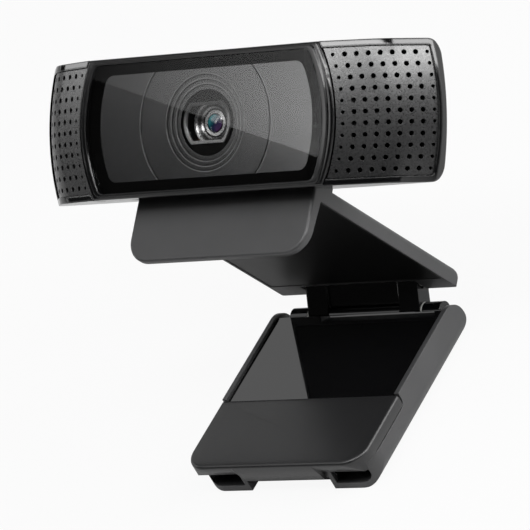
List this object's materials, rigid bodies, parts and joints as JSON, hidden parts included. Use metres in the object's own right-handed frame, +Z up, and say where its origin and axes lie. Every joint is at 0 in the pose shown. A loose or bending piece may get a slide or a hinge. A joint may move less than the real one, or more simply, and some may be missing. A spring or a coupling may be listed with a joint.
{
  "type": "webcam on folding clip",
  "caption": "Webcam head with a clear front window, lens and perforated microphone grilles, on a folding monitor clip with a padded foot and a tripod thread.",
  "frame": {"origin": "mouth of the tripod thread on the foot's underside, at floor level", "axes": "+Z up along the thread axis, X along the hinge pins, -Y towards the front that the lens faces"},
  "size_m": [0.0978, 0.058, 0.0806],
  "materials": {
    "clip_plastic": "fine matte",
    "gloss_black": "high gloss",
    "casing_black": "gloss",
    "pad_rubber": "soft matte",
    "window_clear": "clear, polished",
    "frame_black": "printed black",
    "panel_grey": "satin grey",
    "hood_black": "matte",
    "barrel_silver": "turned",
    "lens_glass": "coated",
    "grille_grey": "fine texture",
    "mic_rubber": "matte",
    "mic_can": "black",
    "pin_steel": "ground",
    "insert_brass": "machined",
    "washer_white": "plain",
    "board_green": "solder mask",
    "shield_tin": "tinned",
    "header_white": "plain",
    "coil_copper": "enamelled wire",
    "magnet_nickel": "plated",
    "sensor_dark": "cover glass over silicon",
    "led_clear": "clear resin"
  },
  "bodies": {
    "foot": {"foot_shell": "clip_plastic", "foot_panel": "gloss_black", "foot_pad": "pad_rubber", "panel_screws": "pin_steel", "tripod_insert": "insert_brass", "foot_hinge_pin": "pin_steel"},
    "link": {"hinge_link": "gloss_black", "foot_hinge_washers": "washer_white", "arm_hinge_washers": "washer_white"},
    "arm": {"clip_arm": "clip_plastic", "arm_panel": "gloss_black", "arm_hinge_pin": "pin_steel"},
    "head": {"front_bezel": "casing_black", "front_window": "window_clear", "window_gasket": "frame_black", "lens_panel": "panel_grey", "lens_hood": "hood_black", "focus_magnets": "magnet_nickel", "focus_housing": "hood_black", "image_sensor": "sensor_dark", "main_board": "board_green", "board_screws": "pin_steel", "shield_can": "shield_tin", "cable_header": "header_white", "status_leds": "led_clear", "rear_shell": "casing_black", "right_grille": "grille_grey", "left_grille": "grille_grey", "right_mic_boot": "mic_rubber", "left_mic_boot": "mic_rubber", "right_microphone": "mic_can", "left_microphone": "mic_can", "cable_grommet": "mic_rubber", "tilt_pin": "pin_steel", "tilt_washers": "washer_white"},
    "lens": {"lens_barrel": "barrel_silver", "front_lens": "lens_glass", "rear_lens": "lens_glass", "focus_coil": "coil_copper"}
  },
  "joints": [
    {"name": "foot_hinge", "type": "hinge", "parent": "foot", "child": "link", "pos_m": [0, 0.0172, 0.0063], "axis": [1, 0, 0], "range_deg": [-15, 40]},
    {"name": "arm_hinge", "type": "hinge", "parent": "link", "child": "arm", "pos_m": [0, 0.0212, 0.01195], "axis": [1, 0, 0], "range_deg": [-60, 15]},
    {"name": "head_tilt", "type": "hinge", "parent": "arm", "child": "head", "pos_m": [0, 0.00381, 0.0549], "axis": [1, 0, 0], "range_deg": [-12, 12]},
    {"name": "focus", "type": "slide", "parent": "head", "child": "lens", "axis": [0, -0.7218, 0.6921], "range_m": [-0.0002, 0.0002], "stiffness_N_per_m": 300}
  ]
}
